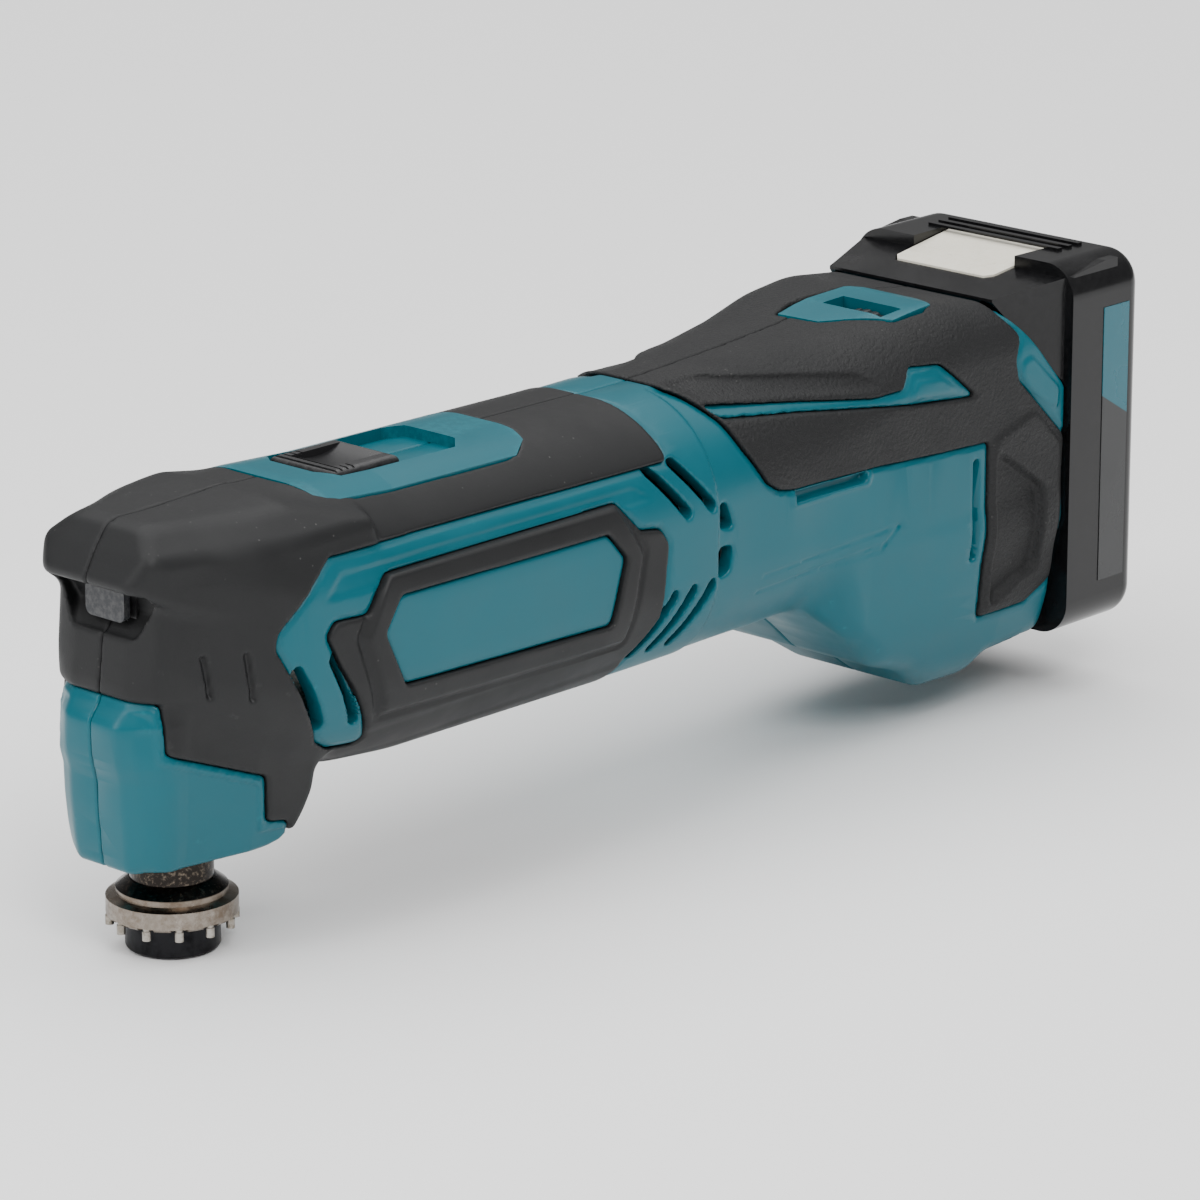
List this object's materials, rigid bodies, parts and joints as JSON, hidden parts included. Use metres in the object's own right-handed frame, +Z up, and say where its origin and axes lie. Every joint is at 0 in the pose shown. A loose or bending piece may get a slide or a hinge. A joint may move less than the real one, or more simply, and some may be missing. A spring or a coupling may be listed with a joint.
{
  "type": "cordless oscillating multi-tool",
  "caption": "Battery-powered oscillating multi-tool with a pinned accessory flange, slide switch, speed dial and slide-on battery.",
  "frame": {"origin": "centre of the accessory seat, on the output spindle's axis", "axes": "+Z up along the spindle, away from the accessory; +X back along the barrel towards the battery; +Y to the tool's right-hand side"},
  "size_m": [0.2644, 0.0574, 0.0911],
  "materials": {
    "shell_plastic": "satin moulded, teal",
    "soft_grip": "matt, fine grain",
    "screw_steel": "zinc",
    "felt": "oiled felt",
    "cast_alloy": "as cast",
    "flange_steel": "tarnished, oiled",
    "pin_steel": "ground",
    "bolt_black": "black oxide",
    "bearing_steel": "polished",
    "black_plastic": "satin",
    "motor_steel": "plated",
    "magnet": "ferrite",
    "copper": "copper",
    "carbon": "graphite",
    "circuit_board": "lacquered",
    "clear_lens": "clear",
    "lead_insulation": "satin",
    "battery_gloss": "gloss black",
    "battery_label_film": "printed film",
    "cell_wrap": "shrink sleeve",
    "button_cream": "cream, satin",
    "spring_steel": "drawn wire"
  },
  "bodies": {
    "housing": {"left_housing": "shell_plastic", "right_housing": "shell_plastic", "left_front_grip": "soft_grip", "right_front_grip": "soft_grip", "left_rear_grip": "soft_grip", "right_rear_grip": "soft_grip", "left_badge": "shell_plastic", "right_badge": "shell_plastic", "switch_bezel": "shell_plastic", "dial_plate": "shell_plastic", "housing_screws": "screw_steel", "dust_seal": "felt", "gear_case": "cast_alloy", "lower_bearing": "bearing_steel", "upper_bearing": "bearing_steel", "motor_can": "motor_steel", "field_magnets": "magnet", "carbon_brushes": "carbon", "motor_end_bell": "black_plastic", "motor_front_bearing": "bearing_steel", "motor_rear_bearing": "bearing_steel", "power_switch": "black_plastic", "speed_potentiometer": "black_plastic", "controller_board": "circuit_board", "lamp_board": "circuit_board", "lamp_lens": "clear_lens", "terminal_block": "black_plastic", "terminal_blades": "copper", "internal_leads": "lead_insulation"},
    "spindle": {"output_spindle": "pin_steel", "drive_flange": "flange_steel", "flange_pins": "pin_steel", "fork_lever": "pin_steel"},
    "clamp_bolt": {"clamp_bolt": "bolt_black"},
    "rotor": {"motor_shaft": "pin_steel", "armature_core": "motor_steel", "armature_coils": "copper", "commutator": "copper", "cooling_fan": "black_plastic", "eccentric_bush": "pin_steel", "drive_bearing": "bearing_steel"},
    "switch_slide": {"slide_switch": "black_plastic", "switch_link": "black_plastic"},
    "speed_dial": {"speed_dial": "black_plastic"},
    "battery": {"battery_front_case": "battery_gloss", "battery_rear_case": "battery_gloss", "battery_cells": "cell_wrap", "battery_board": "circuit_board", "battery_contacts": "copper", "battery_screws": "screw_steel", "battery_labels": "battery_label_film", "battery_top_ribs": "battery_gloss", "battery_button_spring": "spring_steel"},
    "battery_button": {"battery_button": "button_cream"}
  },
  "joints": [
    {"name": "spindle_oscillation", "type": "hinge", "parent": "housing", "child": "spindle", "pos_m": [0, 0, 0.03], "axis": [0, 0, 1], "range_deg": [-1.6, 1.6]},
    {"name": "clamp_bolt_draw", "type": "slide", "parent": "spindle", "child": "clamp_bolt", "axis": [0, 0, -1], "range_m": [0, 0.016]},
    {"name": "rotor_spin", "type": "hinge", "parent": "housing", "child": "rotor", "pos_m": [0.05, 0, 0.0486], "axis": [1, 0, 0], "continuous": true},
    {"name": "switch_travel", "type": "slide", "parent": "housing", "child": "switch_slide", "axis": [1, 0, 0], "range_m": [0, 0.006]},
    {"name": "speed_dial_turn", "type": "hinge", "parent": "housing", "child": "speed_dial", "pos_m": [0.1805, -0.0085, 0.0669], "axis": [1, 0, 0], "range_deg": [-120, 120]},
    {"name": "battery_slide", "type": "slide", "parent": "housing", "child": "battery", "axis": [0, 0, 1], "range_m": [0, 0.08]},
    {"name": "battery_release", "type": "slide", "parent": "battery", "child": "battery_button", "axis": [0, 0, -1], "range_m": [0, 0.0025], "stiffness_N_per_m": 1500, "springref_m": -0.001, "deforming": ["battery_button_spring"]}
  ]
}
